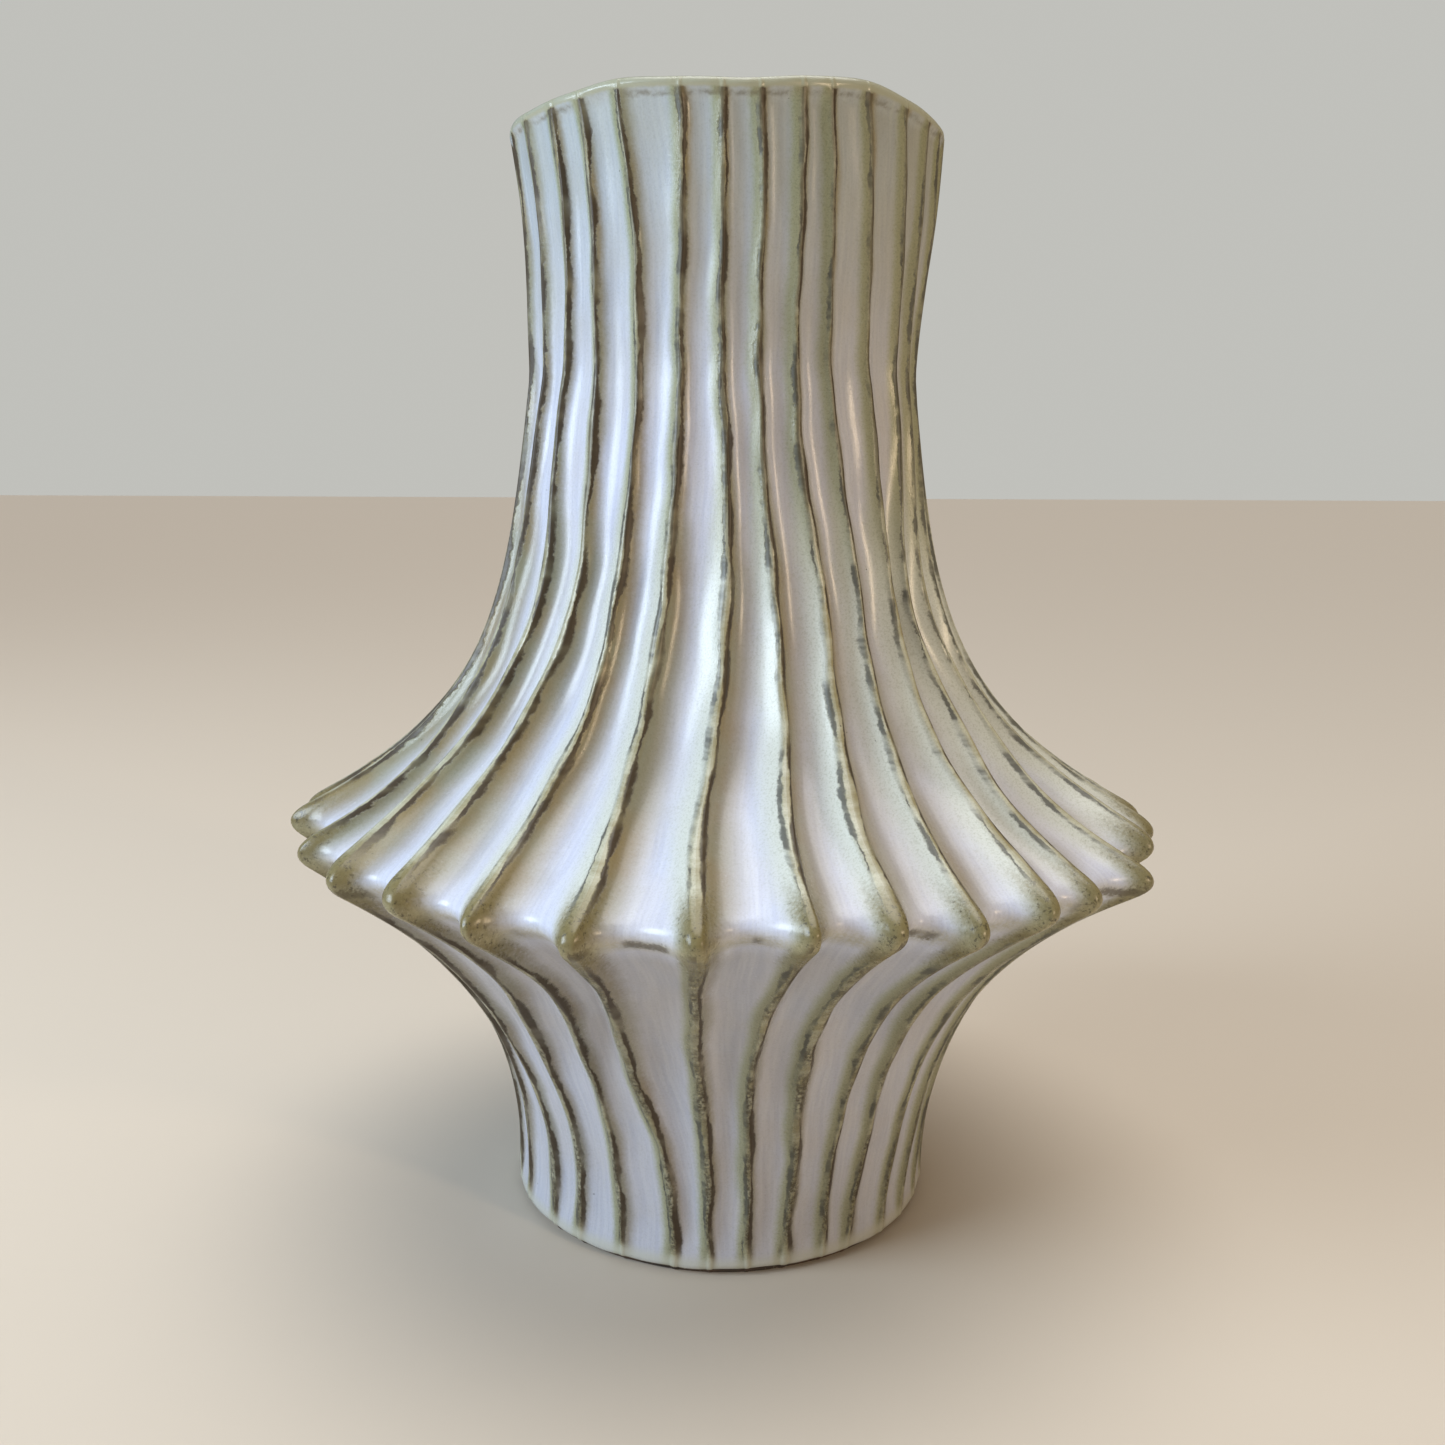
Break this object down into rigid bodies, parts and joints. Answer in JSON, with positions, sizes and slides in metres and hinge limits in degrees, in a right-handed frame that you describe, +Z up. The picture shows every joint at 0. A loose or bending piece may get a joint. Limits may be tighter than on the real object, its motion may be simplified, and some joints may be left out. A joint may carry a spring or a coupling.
{
  "type": "stoneware vase",
  "caption": "Stoneware vase with a flared neck, a wide scalloped waist and a tapered foot, carved all over with wandering hand-cut flutes under a pale glaze that breaks dark on the ridges.",
  "frame": {"origin": "on the standing surface, under the middle of the foot", "axes": "+Z up along the vase's axis, -Y towards the front that the flute angles are counted from, +X to that front's right"},
  "size_m": [0.2439, 0.2437, 0.3],
  "materials": {
    "stoneware_clay": "bare dark stoneware, matt, trimmed and slightly gritty",
    "fired_slip": "fired joining slip, matt",
    "breaking_glaze": "satin gloss glaze, milky lavender white in the flutes, celadon and olive on the flanks, breaking dark brown on the ridges",
    "liner_glaze": "satin gloss off-white liner"
  },
  "bodies": {
    "root": {"bowl_section": "stoneware_clay", "neck_section": "stoneware_clay", "luting_slip": "fired_slip", "outer_glaze": "breaking_glaze", "liner_glaze": "liner_glaze"}
  },
  "joints": []
}
